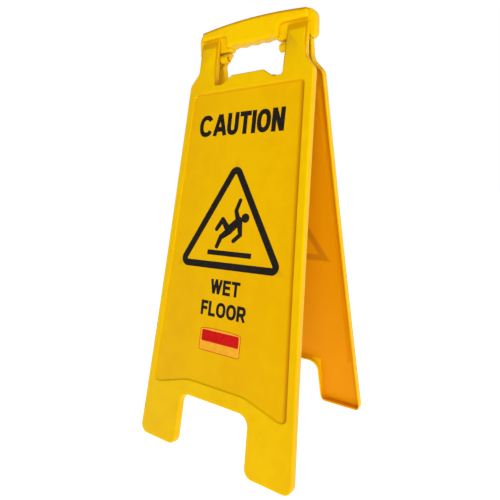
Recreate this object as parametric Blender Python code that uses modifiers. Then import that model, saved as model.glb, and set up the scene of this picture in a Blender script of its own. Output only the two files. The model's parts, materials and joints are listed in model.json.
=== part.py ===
"""Folding two-panel floor sign, standing open, in metres with +Z up.

The origin is on the floor midway between the two panels. X runs along the hinge,
the front panel leans on the -Y side and the rear panel on the +Y side. Each panel
is drawn flat in its own frame, which hangs from the hinge axis: X across, Z up the
panel, and the printed face towards -Y. An empty on the axis leans it to its place.
"""

import math

import bmesh
import bpy
from mathutils import Matrix, Vector

# Stance
HINGE_HEIGHT = 0.590
LEAN = math.radians(11.4)

# Panel mouldings
FACE_OFFSET = 0.013
SKIN = 0.0026
SIDE_WALL = 0.0026
RIM_OFFSET = 0.002
FOOT_WALL = 0.006
FACE_ROUNDING = 0.0024
SHOULDER_HALF = 0.1088
SHOULDER_DROP = 0.040
SHOULDER_CORNER = 0.014
FOOT_HALF = 0.1405
SIDE_FLARE = 0.18
FOOT_INNER_HALF = 0.065
FOOT_CORNER = 0.0135
ARCH_HEIGHT = 0.083
ARCH_HALF = 0.0625
ARCH_CORNER = 0.017

# Arms beside the hand hole
ARM_INNER = 0.060
ARM_OUTER = 0.0937
ARM_NECK_RISE = 0.0185
ARM_NECK_CORNER = 0.015
ARM_RIM_OFFSET = 0.0034
ARM_RELIEF_DROP = 0.012
HOLE_DROP = 0.0435
TAB_HEIGHT = 0.0115
TAB_HALF = 0.028
TAB_SLOPE = 0.017
HEAD_TOP = 0.0285
HEAD_SHOULDER = 0.0125
HEAD_SETBACK = 0.0032
GUSSET_INNER = 0.041
GUSSET_DROP = 0.0165
TONGUE_HALF = 0.010
TONGUE_THICKNESS = 0.003
TONGUE_TOP = 0.029
TONGUE_SET = 0.0012

# Recessed print field
FIELD_MARGIN = 0.0115
FIELD_DROP = 0.054
FIELD_DEPTH = 0.0018
FIELD_CORNER = 0.009
FIELD_FOOT = 0.088
FIELD_CROWN = 0.0175

# Hinge
PIN_RADIUS = 0.003
PIN_INNER = 0.053
PIN_OUTER = 0.0895
PIN_HEAD_RADIUS = 0.0039
PIN_HEAD_LENGTH = 0.0045
PIN_CHAMFER = 0.0008
PIN_BOSS_RADIUS = 0.0059
PIN_BOSS_INNER = 0.0465
PIN_BOSS_GAP = 0.0006
PIN_BOSS_WEB = 0.0026
PIN_CLEARANCE = 0.0003
LUG_RADIUS = 0.0070
LUG_CLEARANCE = 0.0006
LUG_GAP = 0.0008
REAR_LUG_WIDTH = 0.005
FRONT_LUG_WIDTH = 0.011
FIRST_LUG = 0.0655
CLIP_RADIUS = 0.0058
CLIP_THICKNESS = 0.0012

# Handle
HANDLE_BOTTOM = 0.0102
EAR_BOTTOM = 0.0068
EAR_GAP = 0.0008
EAR_CORNER = 0.0065
HANDLE_END_TOP = 0.043
HANDLE_CROWN = 0.0065
HANDLE_HALF = 0.1015
HANDLE_FRONT = -0.0023
HANDLE_BACK = 0.0135
HANDLE_TOP_CORNER = 0.013
HANDLE_BACK_ROUNDING = 0.0045
GRIP_ROUNDING = 0.0028
JOINT_CHAMFER = 0.0012
HANDLE_WALL = 0.0028
GRIP_FRONT = -0.0095
GRIP_HALF = 0.046
GRIP_BOTTOM = 0.0145
LIP_HALF = 0.0925
LIP_BOTTOM = 0.0318
LIP_FALL = 0.0005
LIP_CORNER = 0.006
FINGER_PITCH = 0.020
FINGER_DEPTH = 0.0015
FINGER_COUNT = 4

# Screws and badge
SCREW_HEAD_RADIUS = 0.0032
SCREW_HEAD_HEIGHT = 0.0018
SCREW_SHANK_RADIUS = 0.0016
BOSS_RADIUS = 0.0043
GRIP_SCREW_X = 0.028
GRIP_SCREW_RISE = 0.0285
ARM_SCREW_RISE = 0.021
BADGE_HALF = 0.0375
BADGE_RISE = 0.0505
BADGE_HEIGHT = 0.036
BADGE_THICKNESS = 0.0006
BADGE_CORNER = 0.004
BADGE_ARCH = 0.0026

GAP = 0.0003
BEYOND = 0.002
FAR = 0.3
ARC_STEPS = 6
ROUND_STEPS = 28

COLLECTION = "floor_sign"


# ---------------------------------------------------------------- scene and materials


def clear_scene():
    for obj in list(bpy.data.objects):
        bpy.data.objects.remove(obj)


def new_collection(name, hidden=False):
    group = bpy.data.collections.new(name)
    group.hide_render = hidden
    bpy.context.scene.collection.children.link(group)
    return group


def material(name, color, roughness, metallic=0.0):
    made = bpy.data.materials.new(name)
    made.use_nodes = True
    shader = made.node_tree.nodes["Principled BSDF"]
    shader.inputs["Base Color"].default_value = (*color, 1.0)
    shader.inputs["Roughness"].default_value = roughness
    shader.inputs["Metallic"].default_value = metallic
    return made


def mesh_object(name, mesh, group):
    obj = bpy.data.objects.new(name, mesh)
    group.objects.link(obj)
    return obj


# ---------------------------------------------------------------- outlines


def convex_turn(before, corner, after):
    """Positive where a counter-clockwise outline turns left at the corner."""
    first, second = corner - before, after - corner
    return first.x * second.y - first.y * second.x


def inset(corners, distance):
    """Moves each side of a counter-clockwise outline inwards, and its corner radii with it."""
    moved = []
    for i, (x, y, radius) in enumerate(corners):
        corner = Vector((x, y))
        before = Vector(corners[i - 1][:2])
        after = Vector(corners[(i + 1) % len(corners)][:2])
        first, second = (corner - before).normalized(), (after - corner).normalized()
        normals = [Vector((-side.y, side.x)) for side in (first, second)]
        lean = 1 + normals[0].dot(normals[1])
        place = corner + (normals[0] + normals[1]) * (distance / lean)
        turn = math.copysign(distance, convex_turn(before, corner, after))
        moved.append((place.x, place.y, max(radius - turn, 0.0006) if radius else 0.0))
    return moved


def rounded(corners, steps=ARC_STEPS):
    """The outline's points, with each corner's radius drawn as an arc."""
    points = []
    for i, (x, y, radius) in enumerate(corners):
        corner = Vector((x, y))
        if not radius:
            points.append(corner)
            continue
        to_before = (Vector(corners[i - 1][:2]) - corner).normalized()
        to_after = (Vector(corners[(i + 1) % len(corners)][:2]) - corner).normalized()
        half = to_before.angle(to_after) / 2
        middle = (to_before + to_after).normalized()
        center = corner + middle * (radius / math.sin(half))
        start = corner + to_before * (radius / math.tan(half)) - center
        end = corner + to_after * (radius / math.tan(half)) - center
        sweep = start.angle_signed(end)
        for step in range(steps + 1):
            turned = start.copy()
            turned.rotate(Matrix.Rotation(-sweep * step / steps, 2))
            points.append(center + turned)
    return points


def mirrored(right_half):
    """A closed counter-clockwise outline from its right half, listed from bottom to top."""
    return right_half + [(-x, y, radius) for x, y, radius in reversed(right_half) if x > 0]


def side_half(drop):
    """Half the panel's width this far below the hinge: a little flare towards the foot."""
    full = foot_drop() - SHOULDER_DROP
    t = (drop - SHOULDER_DROP) / full
    return SHOULDER_HALF + (FOOT_HALF - SHOULDER_HALF) * (t * (1 - SIDE_FLARE) + SIDE_FLARE * t * t)


def foot_drop():
    """How far along the panel its printed face meets the floor."""
    return (HINGE_HEIGHT + math.sin(LEAN) * FACE_OFFSET) / math.cos(LEAN)


def panel_sides(margin=0.0, first=0.1, last=0.9, count=5):
    """Corner-free points up the panel's right side, bottom to top."""
    drops = [SHOULDER_DROP + (foot_drop() - SHOULDER_DROP) * (last + (first - last) * i / (count - 1))
             for i in range(count)]
    return [(side_half(drop) - margin, -drop, 0.0) for drop in drops]


def legs_half():
    """The right leg's foot and the arch beside it, from the arch to the shoulder."""
    bottom = -foot_drop()
    return [
        (ARCH_HALF, bottom + ARCH_HEIGHT, ARCH_CORNER),
        (FOOT_INNER_HALF, bottom, FOOT_CORNER),
        (FOOT_HALF, bottom, FOOT_CORNER),
        *panel_sides(),
        (SHOULDER_HALF, -SHOULDER_DROP, SHOULDER_CORNER),
    ]


def arm_half():
    """The outer edge of the arm above the shoulder."""
    return [(ARM_OUTER, -SHOULDER_DROP + ARM_NECK_RISE, ARM_NECK_CORNER)]


def rear_arm_top():
    """The rear arms end a fitting gap below the handle that stands on them."""
    return (HANDLE_BOTTOM - GAP - math.sin(LEAN) * FACE_OFFSET) / math.cos(LEAN)


def hole_half():
    """The lower edge of the hand hole with its raised middle."""
    return [
        (ARM_INNER, -HOLE_DROP, 0.004),
        (TAB_HALF + TAB_SLOPE, -HOLE_DROP, 0.005),
        (TAB_HALF, -HOLE_DROP + TAB_HEIGHT, 0.006),
    ]


def front_outline():
    head = [(ARM_OUTER, HEAD_TOP, 0.005), (ARM_INNER, HEAD_TOP, 0.004)]
    return mirrored(legs_half() + arm_half() + head + hole_half())


def rear_outline():
    top = [
        (ARM_OUTER, rear_arm_top(), 0.002),
        (GUSSET_INNER, rear_arm_top(), 0.002),
        (ARM_INNER, rear_arm_top() - GUSSET_DROP, 0.008),
    ]
    return mirrored(legs_half() + arm_half() + top + hole_half())


def field_outline():
    """The print field: straight at the top, and arched at the bottom above the legs."""
    bottom = -foot_drop() + FIELD_FOOT
    drop = foot_drop() - FIELD_FOOT
    return mirrored([
        (0.052, bottom + FIELD_CROWN, 0.07),
        (0.107, bottom + 0.001, 0.02),
        (side_half(drop) - FIELD_MARGIN, bottom, FIELD_CORNER),
        *panel_sides(FIELD_MARGIN, last=0.75),
        (side_half(FIELD_DROP) - FIELD_MARGIN, -FIELD_DROP, FIELD_CORNER),
    ])


# ---------------------------------------------------------------- solids


def slab(name, loops, near, far, group, turn=None):
    """A flat outline, with holes if more loops are given, made solid from near to far.

    The outline's X and Y become X and Z, and the depth runs from -Y.
    """
    curve = bpy.data.curves.new(name, "CURVE")
    curve.dimensions = "2D"
    curve.fill_mode = "BOTH"
    curve.extrude = (far - near) / 2
    for points in loops:
        spline = curve.splines.new("POLY")
        spline.points.add(len(points) - 1)
        for point, place in zip(spline.points, points):
            point.co = (place[0], place[1], 0.0, 1.0)
        spline.use_cyclic_u = True
    drawn = bpy.data.objects.new(name, curve)
    bpy.context.scene.collection.objects.link(drawn)
    graph = bpy.context.evaluated_depsgraph_get()
    mesh = bpy.data.meshes.new_from_object(drawn.evaluated_get(graph))
    bpy.data.objects.remove(drawn)
    bpy.data.curves.remove(curve)
    upright = Matrix.Rotation(math.pi / 2, 4, "X") @ Matrix.Translation((0, 0, (near + far) / 2))
    edited = bmesh.new()
    edited.from_mesh(mesh)
    bmesh.ops.remove_doubles(edited, verts=edited.verts, dist=1e-6)
    bmesh.ops.transform(edited, matrix=(turn or Matrix()) @ upright, verts=edited.verts)
    bmesh.ops.recalc_face_normals(edited, faces=edited.faces)
    if edited.calc_volume(signed=True) < 0:
        bmesh.ops.reverse_faces(edited, faces=edited.faces)
    edited.to_mesh(mesh)
    edited.free()
    return mesh_object(name, mesh, group)


def rod(name, radius, start, end, group):
    """A round bar along X."""
    edited = bmesh.new()
    turn = Matrix.Translation(((start + end) / 2, 0, 0)) @ Matrix.Rotation(math.pi / 2, 4, "Y")
    bmesh.ops.create_cone(edited, cap_ends=True, segments=ROUND_STEPS, radius1=radius,
                          radius2=radius, depth=abs(end - start), matrix=turn)
    mesh = bpy.data.meshes.new(name)
    edited.to_mesh(mesh)
    edited.free()
    return mesh_object(name, mesh, group)


def box(name, low, high, group):
    low, high = Vector(low), Vector(high)
    size = high - low
    edited = bmesh.new()
    bmesh.ops.create_cube(edited, size=1.0)
    bmesh.ops.transform(edited, verts=edited.verts,
                        matrix=Matrix.Translation((low + high) / 2) @ Matrix.Diagonal((*size, 1.0)))
    mesh = bpy.data.meshes.new(name)
    edited.to_mesh(mesh)
    edited.free()
    return mesh_object(name, mesh, group)


def round_edges(obj, radius, keep, steps=2):
    """Bevels the edges whose two ends both pass the keep test."""
    edited = bmesh.new()
    edited.from_mesh(obj.data)
    chosen = [
        edge for edge in edited.edges
        if all(keep(vert.co) for vert in edge.verts) and edge.calc_face_angle(0.0) > 0.6
    ]
    bmesh.ops.bevel(edited, geom=chosen, offset=radius, segments=steps, profile=0.5,
                    affect="EDGES", clamp_overlap=True)
    edited.to_mesh(obj.data)
    edited.free()


def combine(obj, other, operation):
    """Joins or cuts. The exact solver leaves open edges on the shells and on wider feet."""
    change = obj.modifiers.new(f"{operation.lower()}_{other.name}"[:60], "BOOLEAN")
    change.operation = operation
    change.solver = "MANIFOLD"
    change.object = other
    other.display_type = "WIRE"
    other.hide_render = True


def finish(obj, surface, smooth=True):
    obj.data.materials.clear()
    obj.data.materials.append(surface)
    if smooth:
        obj.data.shade_smooth()
        obj.data.set_sharp_from_angle(angle=math.radians(35))


def hang(obj, frame):
    """Parents a piece drawn in a panel's frame to the empty that leans it."""
    obj.parent = frame


# ---------------------------------------------------------------- panels


def lug_places():
    """(start, end, owner) of each hinge lug outwards from the arm's inner wall, right side."""
    front_start = FIRST_LUG + REAR_LUG_WIDTH + LUG_GAP
    second_rear = front_start + FRONT_LUG_WIDTH + LUG_GAP
    return [
        (FIRST_LUG, FIRST_LUG + REAR_LUG_WIDTH, "rear"),
        (front_start, front_start + FRONT_LUG_WIDTH, "front"),
        (second_rear, second_rear + REAR_LUG_WIDTH, "rear"),
    ]


def lug_outline():
    """Side view of a lug, depth across and height up: round the pin, then straight to the skin."""
    root = FACE_OFFSET - SKIN / 2
    steps = ROUND_STEPS // 2
    nose = [
        Vector((-math.sin(math.pi * i / steps), math.cos(math.pi * i / steps))) * LUG_RADIUS
        for i in range(steps + 1)
    ]
    return nose + [Vector((root, -LUG_RADIUS)), Vector((root, LUG_RADIUS))]


def add_lugs(panel, owner, cutters):
    """Joins the lugs of one panel to its arms and bores them for the pin."""
    sideways = Matrix.Rotation(math.pi / 2, 4, "Z")
    for side in (-1, 1):
        for number, (start, end, holder) in enumerate(lug_places()):
            if holder != owner:
                continue
            near, far = sorted((side * start, side * end))
            outline = [(-depth, rise) for depth, rise in lug_outline()]
            lug = slab(f"{owner}_lug_{side}_{number}", [outline], near, far, cutters, sideways)
            hang(lug, panel.parent)
            combine(panel, lug, "UNION")
        bore = rod(f"{owner}_bore_{side}", PIN_RADIUS + PIN_CLEARANCE, side * PIN_INNER,
                   side * (PIN_OUTER + PIN_CHAMFER), cutters)
        hang(bore, panel.parent)
        combine(panel, bore, "DIFFERENCE")


def add_pin_bosses(panel, cutters):
    """Joins a round boss to each rear arm, on a web, to hold the head of the pin."""
    outer = ARM_INNER - PIN_BOSS_GAP
    for side in (-1, 1):
        boss = rod(f"pin_boss_{side}", PIN_BOSS_RADIUS, side * PIN_BOSS_INNER, side * outer, cutters)
        near, far = sorted((side * (PIN_INNER - BEYOND), side * outer))
        web = box(f"pin_boss_web_{side}", (near, -FACE_OFFSET + SKIN / 2, -PIN_BOSS_WEB / 2),
                  (far, -PIN_HEAD_RADIUS, PIN_BOSS_WEB / 2), cutters)
        for joined in (boss, web):
            hang(joined, panel.parent)
            combine(panel, joined, "UNION")


def clear_rear_arms(panel, cutters):
    """Makes room in the rear arms for the front lugs to turn and for the pin heads."""
    start, end, _ = lug_places()[1]
    for side in (-1, 1):
        turning = rod(f"lug_room_{side}", LUG_RADIUS + LUG_CLEARANCE, side * (start - LUG_GAP / 2),
                      side * (end + LUG_GAP / 2), cutters)
        head = rod(f"pin_head_room_{side}", PIN_HEAD_RADIUS + PIN_CLEARANCE,
                   side * (PIN_BOSS_INNER - BEYOND), side * (PIN_INNER + PIN_HEAD_LENGTH + GAP), cutters)
        for room in (turning, head):
            hang(room, panel.parent)
            combine(panel, room, "DIFFERENCE")


def tray(name, outline, hollow_top, parts, cutters, frame):
    """A shallow moulded tray: a skin with the recessed field, and walls round every edge."""
    points = rounded(outline)
    panel = slab(name, [points], RIM_OFFSET, FACE_OFFSET, parts)
    hang(panel, frame)
    round_edges(panel, FACE_ROUNDING, lambda co: co.y < -FACE_OFFSET + 1e-5, steps=3)
    bottom = -foot_drop()
    hollow_outline = [
        (x, min(max(y, bottom + FOOT_WALL), hollow_top), radius)
        for x, y, radius in inset(outline, SIDE_WALL)
    ]
    hollow = slab(f"{name}_hollow", [rounded(hollow_outline)], RIM_OFFSET - BEYOND,
                  FACE_OFFSET - SKIN, cutters)
    hang(hollow, frame)
    combine(panel, hollow, "DIFFERENCE")
    field = field_outline()
    backing = slab(f"{name}_backing", [rounded(inset(field, -FIELD_DEPTH))],
                   FACE_OFFSET - SKIN - FIELD_DEPTH, FACE_OFFSET - SKIN / 2, cutters)
    hang(backing, frame)
    combine(panel, backing, "UNION")
    pocket = slab(f"{name}_field", [rounded(field)], FACE_OFFSET - FIELD_DEPTH,
                  FACE_OFFSET + BEYOND, cutters)
    round_edges(pocket, FIELD_DEPTH * 0.9, lambda co: co.y > -FACE_OFFSET + FIELD_DEPTH - 1e-5, steps=1)
    hang(pocket, frame)
    combine(panel, pocket, "DIFFERENCE")
    relief = box(f"{name}_arm_relief", (-FAR, -ARM_RIM_OFFSET, -ARM_RELIEF_DROP), (FAR, FAR, FAR), cutters)
    hang(relief, frame)
    combine(panel, relief, "DIFFERENCE")
    return panel


def cut_soles(panel, cutters):
    """Cuts the feet level with the floor."""
    floor = box(f"{panel.name}_floor", (-FAR, -FAR, -FAR), (FAR, FAR, 0.0), cutters)
    combine(panel, floor, "DIFFERENCE")


def front_panel(parts, cutters, frame, surface):
    panel = tray("front_panel", front_outline(), HEAD_SHOULDER, parts, cutters, frame)
    add_lugs(panel, "front", cutters)
    # The heads lean back above the shoulder line and stop against the handle.
    setback = [
        (-FACE_OFFSET - BEYOND, HEAD_SHOULDER),
        (-FACE_OFFSET, HEAD_SHOULDER),
        (-FACE_OFFSET + HEAD_SETBACK * 0.3, (HEAD_TOP + HEAD_SHOULDER) / 2),
        (-FACE_OFFSET + HEAD_SETBACK, HEAD_TOP + BEYOND),
        (-FACE_OFFSET - BEYOND, HEAD_TOP + BEYOND),
    ]
    sideways = Matrix.Rotation(math.pi / 2, 4, "Z")
    wedge = slab("front_head_setback", [setback], -FAR, FAR, cutters, sideways)
    hang(wedge, frame)
    combine(panel, wedge, "DIFFERENCE")
    room = box("front_handle_room", (-FAR, HANDLE_FRONT - GAP, HINGE_HEIGHT + LUG_RADIUS + LUG_CLEARANCE),
               (FAR, FAR, HINGE_HEIGHT + FAR), cutters)
    combine(panel, room, "DIFFERENCE")
    cut_soles(panel, cutters)
    finish(panel, surface)
    return panel


def tongue_outline(side):
    """A tongue that rises from the middle of each rear arm into the handle."""
    middle = side * (ARM_INNER + ARM_OUTER) / 2
    return rounded([
        (middle - TONGUE_HALF, -0.004, 0.0),
        (middle + TONGUE_HALF, -0.004, 0.0),
        (middle + TONGUE_HALF, TONGUE_TOP, 0.003),
        (middle - TONGUE_HALF, TONGUE_TOP, 0.003),
    ])


def tongue_depths():
    """Each tongue is set a little way into the skin of its arm."""
    far = FACE_OFFSET - SKIN + TONGUE_SET
    return far - TONGUE_THICKNESS, far


def rear_panel(parts, cutters, frame, surface):
    panel = tray("rear_panel", rear_outline(), rear_arm_top() - SIDE_WALL, parts, cutters, frame)
    add_pin_bosses(panel, cutters)
    clear_rear_arms(panel, cutters)
    add_lugs(panel, "rear", cutters)
    near, far = tongue_depths()
    for side in (-1, 1):
        tongue = slab(f"rear_tongue_{side}", [tongue_outline(side)], near, far, cutters)
        hang(tongue, frame)
        combine(panel, tongue, "UNION")
    for label, x, z in screw_places():
        if "outer" in label:
            hole = along_y(SCREW_SHANK_RADIUS + GAP, -0.002, HANDLE_BACK, x, z,
                           f"tongue_hole_{label}", cutters)
            combine(panel, hole, "DIFFERENCE")
    cut_soles(panel, cutters)
    finish(panel, surface)
    return panel


# ---------------------------------------------------------------- handle


def handle_top(x, half):
    """The arched top edge, highest in the middle."""
    return HINGE_HEIGHT + HANDLE_END_TOP + HANDLE_CROWN * (1 - (x / half) ** 2)


def arched_top(half, end, count=9):
    """Points along the arched top from the right end to the left."""
    return [
        (end * (1 - 2 * i / (count - 1)), handle_top(end * (1 - 2 * i / (count - 1)), half), 0.0)
        for i in range(count)
    ]


def finger_edge(rise, count=41):
    """The underside of the grip from left to right, hollowed once for each finger."""
    reach = FINGER_PITCH * FINGER_COUNT / 2
    places = [reach * (2 * i / (count - 1) - 1) for i in range(count)]
    return [
        (x, rise + FINGER_DEPTH * math.sin(math.pi * (x + reach) / FINGER_PITCH) ** 2, 0.0)
        for x in places
    ]


def rear_shell_outline():
    """The back half, which stands on the rear arms and has an ear outside each of them."""
    bottom = HINGE_HEIGHT + HANDLE_BOTTOM
    grip = HINGE_HEIGHT + GRIP_BOTTOM
    end = HANDLE_HALF
    right = [
        (GUSSET_INNER + 0.001, bottom, 0.002),
        (ARM_OUTER + EAR_GAP, bottom, 0.0),
        (ARM_OUTER + EAR_GAP, HINGE_HEIGHT + EAR_BOTTOM, 0.0),
        (end, HINGE_HEIGHT + EAR_BOTTOM, EAR_CORNER),
        (end, handle_top(end, end), HANDLE_TOP_CORNER),
    ]
    left = [(-x, y, radius) for x, y, radius in reversed(right)]
    crown = arched_top(end, end - HANDLE_TOP_CORNER - 0.003)
    return finger_edge(grip) + right + crown + left


def front_shell_outline():
    """The front half: the grip, and a lip that covers the heads of the front arms."""
    grip = HINGE_HEIGHT + GRIP_BOTTOM
    lip = HINGE_HEIGHT + LIP_BOTTOM
    top = handle_top(LIP_HALF, HANDLE_HALF) - 0.0004
    right = [
        (GRIP_HALF, grip, 0.0035),
        (GRIP_HALF, lip, LIP_CORNER),
        (LIP_HALF, lip - LIP_FALL, 0.0035),
        (LIP_HALF, top, 0.004),
    ]
    left = [(-x, y, radius) for x, y, radius in reversed(right)]
    crown = [(x, y - 0.0004, 0.0) for x, y, _ in arched_top(HANDLE_HALF, LIP_HALF - 0.008)]
    return finger_edge(grip) + right + crown + left


def screw_places():
    """(label, x, height) of each handle screw."""
    arm = (ARM_INNER + ARM_OUTER) / 2
    return [
        ("left_outer", -arm, HINGE_HEIGHT + ARM_SCREW_RISE),
        ("left_inner", -GRIP_SCREW_X, HINGE_HEIGHT + GRIP_SCREW_RISE),
        ("right_inner", GRIP_SCREW_X, HINGE_HEIGHT + GRIP_SCREW_RISE),
        ("right_outer", arm, HINGE_HEIGHT + ARM_SCREW_RISE),
    ]


def along_y(radius, start, end, x, z, name, group, steps=16):
    """A round bar along Y, for screw holes, seats and bosses."""
    edited = bmesh.new()
    turn = Matrix.Translation((x, (start + end) / 2, z)) @ Matrix.Rotation(math.pi / 2, 4, "X")
    bmesh.ops.create_cone(edited, cap_ends=True, segments=steps, radius1=radius,
                          radius2=radius, depth=abs(end - start), matrix=turn)
    mesh = bpy.data.meshes.new(name)
    edited.to_mesh(mesh)
    edited.free()
    return mesh_object(name, mesh, group)


def handle_rear_shell(parts, cutters, surface):
    shell = slab("handle_rear_shell", [rounded(rear_shell_outline())], -HANDLE_BACK, -HANDLE_FRONT, parts)
    round_edges(shell, HANDLE_BACK_ROUNDING, lambda co: co.y > HANDLE_BACK - 1e-5, steps=3)
    round_edges(shell, JOINT_CHAMFER, lambda co: co.y < HANDLE_FRONT + 1e-5, steps=1)
    middle = (ARM_INNER + ARM_OUTER) / 2
    clear = TONGUE_HALF + 2 * GAP
    ceiling = TONGUE_TOP * math.cos(LEAN) + tongue_depths()[1] * math.sin(LEAN) + 2 * GAP
    for side in (-1, 1):
        low, high = sorted((side * (middle - clear), side * (middle + clear)))
        pocket = box(f"tongue_pocket_{side}", (low, -0.0004, HINGE_HEIGHT),
                     (high, HANDLE_BACK - HANDLE_WALL, HINGE_HEIGHT + ceiling), cutters)
        combine(shell, pocket, "DIFFERENCE")
    hollow = box("grip_hollow", (-GRIP_HALF + 0.008, HANDLE_FRONT - BEYOND,
                                 HINGE_HEIGHT + GRIP_BOTTOM + 0.005),
                 (GRIP_HALF - 0.008, HANDLE_BACK - HANDLE_WALL,
                  HINGE_HEIGHT + HANDLE_END_TOP - 0.004), cutters)
    combine(shell, hollow, "DIFFERENCE")
    for label, x, z in screw_places():
        inner = "inner" in label
        if inner:
            boss = along_y(BOSS_RADIUS, HANDLE_FRONT + 0.0005, HANDLE_BACK - 0.002, x, z,
                           f"boss_{label}", cutters, steps=22)
            combine(shell, boss, "UNION")
        hole = along_y(SCREW_SHANK_RADIUS + GAP, HANDLE_FRONT - BEYOND if inner else GAP / 3,
                       HANDLE_BACK + BEYOND / 2, x, z, f"screw_hole_{label}", cutters)
        seat = along_y(SCREW_HEAD_RADIUS + GAP, HANDLE_BACK - SCREW_HEAD_HEIGHT - GAP,
                       HANDLE_BACK + BEYOND, x, z, f"screw_seat_{label}", cutters)
        combine(shell, hole, "DIFFERENCE")
        combine(shell, seat, "DIFFERENCE")
    finish(shell, surface)
    return shell


def handle_front_shell(parts, cutters, surface):
    shell = slab("handle_front_shell", [rounded(front_shell_outline())], -HANDLE_FRONT + GAP,
                 -GRIP_FRONT, parts)
    round_edges(shell, GRIP_ROUNDING, lambda co: co.y < GRIP_FRONT + 1e-5, steps=3)
    for label, x, z in screw_places():
        if "inner" in label:
            hole = along_y(SCREW_SHANK_RADIUS + GAP, HANDLE_FRONT - 0.0045, HANDLE_FRONT + 0.002,
                           x, z, f"shell_hole_{label}", cutters)
            combine(shell, hole, "DIFFERENCE")
    finish(shell, surface)
    return shell


def handle_screws(parts, surface):
    """Headed screws: two hold the grip's shells together, and two hold the handle to the arms."""
    for label, x, z in screw_places():
        tip = HANDLE_FRONT - 0.004 if "inner" in label else 0.0022
        seat = HANDLE_BACK - SCREW_HEAD_HEIGHT
        screw = turned(f"handle_screw_{label}", [
            (0.0, HANDLE_BACK - 0.0002),
            (SCREW_HEAD_RADIUS * 0.7, HANDLE_BACK - 0.0002),
            (SCREW_HEAD_RADIUS, HANDLE_BACK - 0.0009),
            (SCREW_HEAD_RADIUS, seat),
            (SCREW_SHANK_RADIUS, seat),
            (SCREW_SHANK_RADIUS, tip + 0.001),
            (SCREW_SHANK_RADIUS * 0.4, tip),
            (0.0, tip),
        ], 20, parts)
        screw.matrix_world = Matrix.Translation((x, 0, z)) @ Matrix.Rotation(-math.pi / 2, 4, "X")
        finish(screw, surface)


def turned(name, profile, steps, group):
    """A profile of (radius, height) turned about Z, top to bottom."""
    mesh = bpy.data.meshes.new(name)
    points = [(radius, 0.0, height) for radius, height in profile]
    mesh.from_pydata(points, [(i, i + 1) for i in range(len(points) - 1)], [])
    obj = mesh_object(name, mesh, group)
    screw = obj.modifiers.new("turn", "SCREW")
    screw.steps = screw.render_steps = steps
    screw.use_merge_vertices = True
    screw.merge_threshold = 1e-6
    return obj


# ---------------------------------------------------------------- hinge hardware and badges


def hinge_pins(parts, steel, surface):
    """A headed pin through the lugs on each side, with a push-on clip on its far end."""
    for side, label in ((-1, "left"), (1, "right")):
        turn = Matrix.Translation((0, 0, HINGE_HEIGHT)) @ Matrix.Rotation(side * math.pi / 2, 4, "Y")
        pin = turned(f"hinge_pin_{label}", [
            (0.0, PIN_OUTER),
            (PIN_RADIUS * 0.75, PIN_OUTER),
            (PIN_RADIUS, PIN_OUTER - PIN_CHAMFER),
            (PIN_RADIUS, PIN_INNER + PIN_HEAD_LENGTH),
            (PIN_HEAD_RADIUS, PIN_INNER + PIN_HEAD_LENGTH),
            (PIN_HEAD_RADIUS, PIN_INNER + PIN_CHAMFER),
            (PIN_HEAD_RADIUS * 0.8, PIN_INNER),
            (0.0, PIN_INNER),
        ], ROUND_STEPS, parts)
        pin.matrix_world = turn
        finish(pin, surface)
        last_lug = lug_places()[-1][1]
        clip = turned(f"pin_clip_{label}", [
            (PIN_RADIUS + GAP, last_lug + GAP + CLIP_THICKNESS),
            (CLIP_RADIUS, last_lug + GAP + CLIP_THICKNESS),
            (CLIP_RADIUS, last_lug + GAP),
            (PIN_RADIUS + GAP, last_lug + GAP),
            (PIN_RADIUS + GAP, last_lug + GAP + CLIP_THICKNESS),
        ], ROUND_STEPS, parts)
        clip.matrix_world = turn
        finish(clip, steel)


def badge(name, parts, frame, surface):
    """A blank label on the print field, with a slightly arched top, above the field's lower edge."""
    top = -foot_drop() + FIELD_FOOT + FIELD_CROWN + BADGE_RISE + BADGE_HEIGHT
    field_face = FACE_OFFSET - FIELD_DEPTH
    outline = rounded(mirrored([
        (BADGE_HALF, top - BADGE_HEIGHT, BADGE_CORNER),
        (BADGE_HALF, top - BADGE_ARCH, BADGE_CORNER),
        (BADGE_HALF / 2, top - BADGE_ARCH / 4, 0.0),
        (0.0, top, 0.0),
    ]))
    label = slab(name, [outline], field_face + GAP, field_face + GAP + BADGE_THICKNESS, parts)
    hang(label, frame)
    finish(label, surface)
    return label


# ---------------------------------------------------------------- assembly


def hinge_frame(name, group, facing):
    """An empty on the hinge axis that leans a panel out from it."""
    empty = bpy.data.objects.new(name, None)
    empty.matrix_world = (
        Matrix.Translation((0, 0, HINGE_HEIGHT))
        @ Matrix.Rotation(facing, 4, "Z")
        @ Matrix.Rotation(-LEAN, 4, "X")
    )
    group.objects.link(empty)
    return empty


def main():
    clear_scene()
    parts = new_collection(COLLECTION)
    cutters = new_collection("cutters", hidden=True)
    yellow = material("yellow_plastic", (0.80, 0.50, 0.0), 0.45)
    steel = material("plated_steel", (0.55, 0.55, 0.52), 0.35, 1.0)
    dark = material("dark_steel", (0.16, 0.15, 0.10), 0.4, 1.0)
    label = material("badge_red", (0.50, 0.01, 0.012), 0.4)
    front_frame = hinge_frame("front_frame", parts, 0.0)
    rear_frame = hinge_frame("rear_frame", parts, math.pi)
    bpy.context.view_layer.update()
    front_panel(parts, cutters, front_frame, yellow)
    rear_panel(parts, cutters, rear_frame, yellow)
    handle_rear_shell(parts, cutters, yellow)
    handle_front_shell(parts, cutters, yellow)
    handle_screws(parts, steel)
    hinge_pins(parts, steel, dark)
    badge("front_badge", parts, front_frame, label)
    badge("rear_badge", parts, rear_frame, label)


main()
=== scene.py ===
"""Folding wet-floor sign standing open on a pale studio floor.

Run as a script in Blender. Each panel is drawn flat, as (across, up, out): across the
panel, up it from the hinge axis, and out towards its printed face. The mouldings, the
handle, the hinge hardware and the print are surfaces worked out with numpy.
"""

import json
import math

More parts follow.
